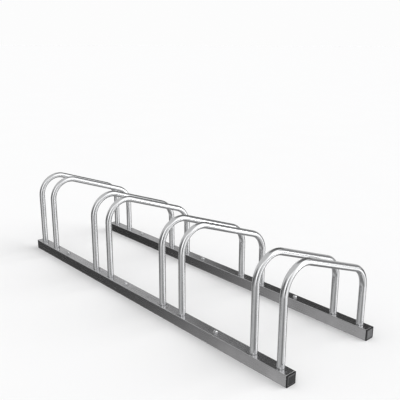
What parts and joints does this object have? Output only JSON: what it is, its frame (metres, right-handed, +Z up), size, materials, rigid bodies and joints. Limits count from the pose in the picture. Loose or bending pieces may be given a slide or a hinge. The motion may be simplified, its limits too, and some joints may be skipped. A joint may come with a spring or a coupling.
{
  "type": "floor bicycle rack",
  "caption": "Floor rack for bicycles: two square rails carry pairs of bent tube hoops with sloping tops, and a wheel stands between the hoops of each pair.",
  "frame": {"origin": "on the floor, at the middle of the rack's length and depth", "axes": "+X along the rails, -Y to the front where the hoops are tall, +Z up"},
  "size_m": [1.1386, 0.33, 0.267],
  "materials": {
    "rail_zinc": "zinc plated, glossy, with fine drawing lines along the tube",
    "bright_zinc": "bright zinc plated, smooth",
    "screw_zinc": "bright zinc plated",
    "black_plastic": "moulded, fine satin"
  },
  "bodies": {
    "root": {"front_rail": "rail_zinc", "front_left_end_cap": "black_plastic", "front_right_end_cap": "black_plastic", "front_foot_insert_1": "screw_zinc", "front_leg_screw_1": "screw_zinc", "front_foot_insert_2": "screw_zinc", "front_leg_screw_2": "screw_zinc", "front_foot_insert_3": "screw_zinc", "front_leg_screw_3": "screw_zinc", "front_foot_insert_4": "screw_zinc", "front_leg_screw_4": "screw_zinc", "front_foot_insert_5": "screw_zinc", "front_leg_screw_5": "screw_zinc", "front_foot_insert_6": "screw_zinc", "front_leg_screw_6": "screw_zinc", "front_foot_insert_7": "screw_zinc", "front_leg_screw_7": "screw_zinc", "front_foot_insert_8": "screw_zinc", "front_leg_screw_8": "screw_zinc", "front_floor_screw_1": "screw_zinc", "front_floor_washer_1": "screw_zinc", "front_floor_screw_2": "screw_zinc", "front_floor_washer_2": "screw_zinc", "front_floor_screw_3": "screw_zinc", "front_floor_washer_3": "screw_zinc", "rear_rail": "rail_zinc", "rear_left_end_cap": "black_plastic", "rear_right_end_cap": "black_plastic", "rear_foot_insert_1": "screw_zinc", "rear_leg_screw_1": "screw_zinc", "rear_foot_insert_2": "screw_zinc", "rear_leg_screw_2": "screw_zinc", "rear_foot_insert_3": "screw_zinc", "rear_leg_screw_3": "screw_zinc", "rear_foot_insert_4": "screw_zinc", "rear_leg_screw_4": "screw_zinc", "rear_foot_insert_5": "screw_zinc", "rear_leg_screw_5": "screw_zinc", "rear_foot_insert_6": "screw_zinc", "rear_leg_screw_6": "screw_zinc", "rear_foot_insert_7": "screw_zinc", "rear_leg_screw_7": "screw_zinc", "rear_foot_insert_8": "screw_zinc", "rear_leg_screw_8": "screw_zinc", "rear_floor_screw_1": "screw_zinc", "rear_floor_washer_1": "screw_zinc", "rear_floor_screw_2": "screw_zinc", "rear_floor_washer_2": "screw_zinc", "rear_floor_screw_3": "screw_zinc", "rear_floor_washer_3": "screw_zinc", "hoop_1": "bright_zinc", "hoop_2": "bright_zinc", "hoop_3": "bright_zinc", "hoop_4": "bright_zinc", "hoop_5": "bright_zinc", "hoop_6": "bright_zinc", "hoop_7": "bright_zinc", "hoop_8": "bright_zinc"}
  },
  "joints": []
}
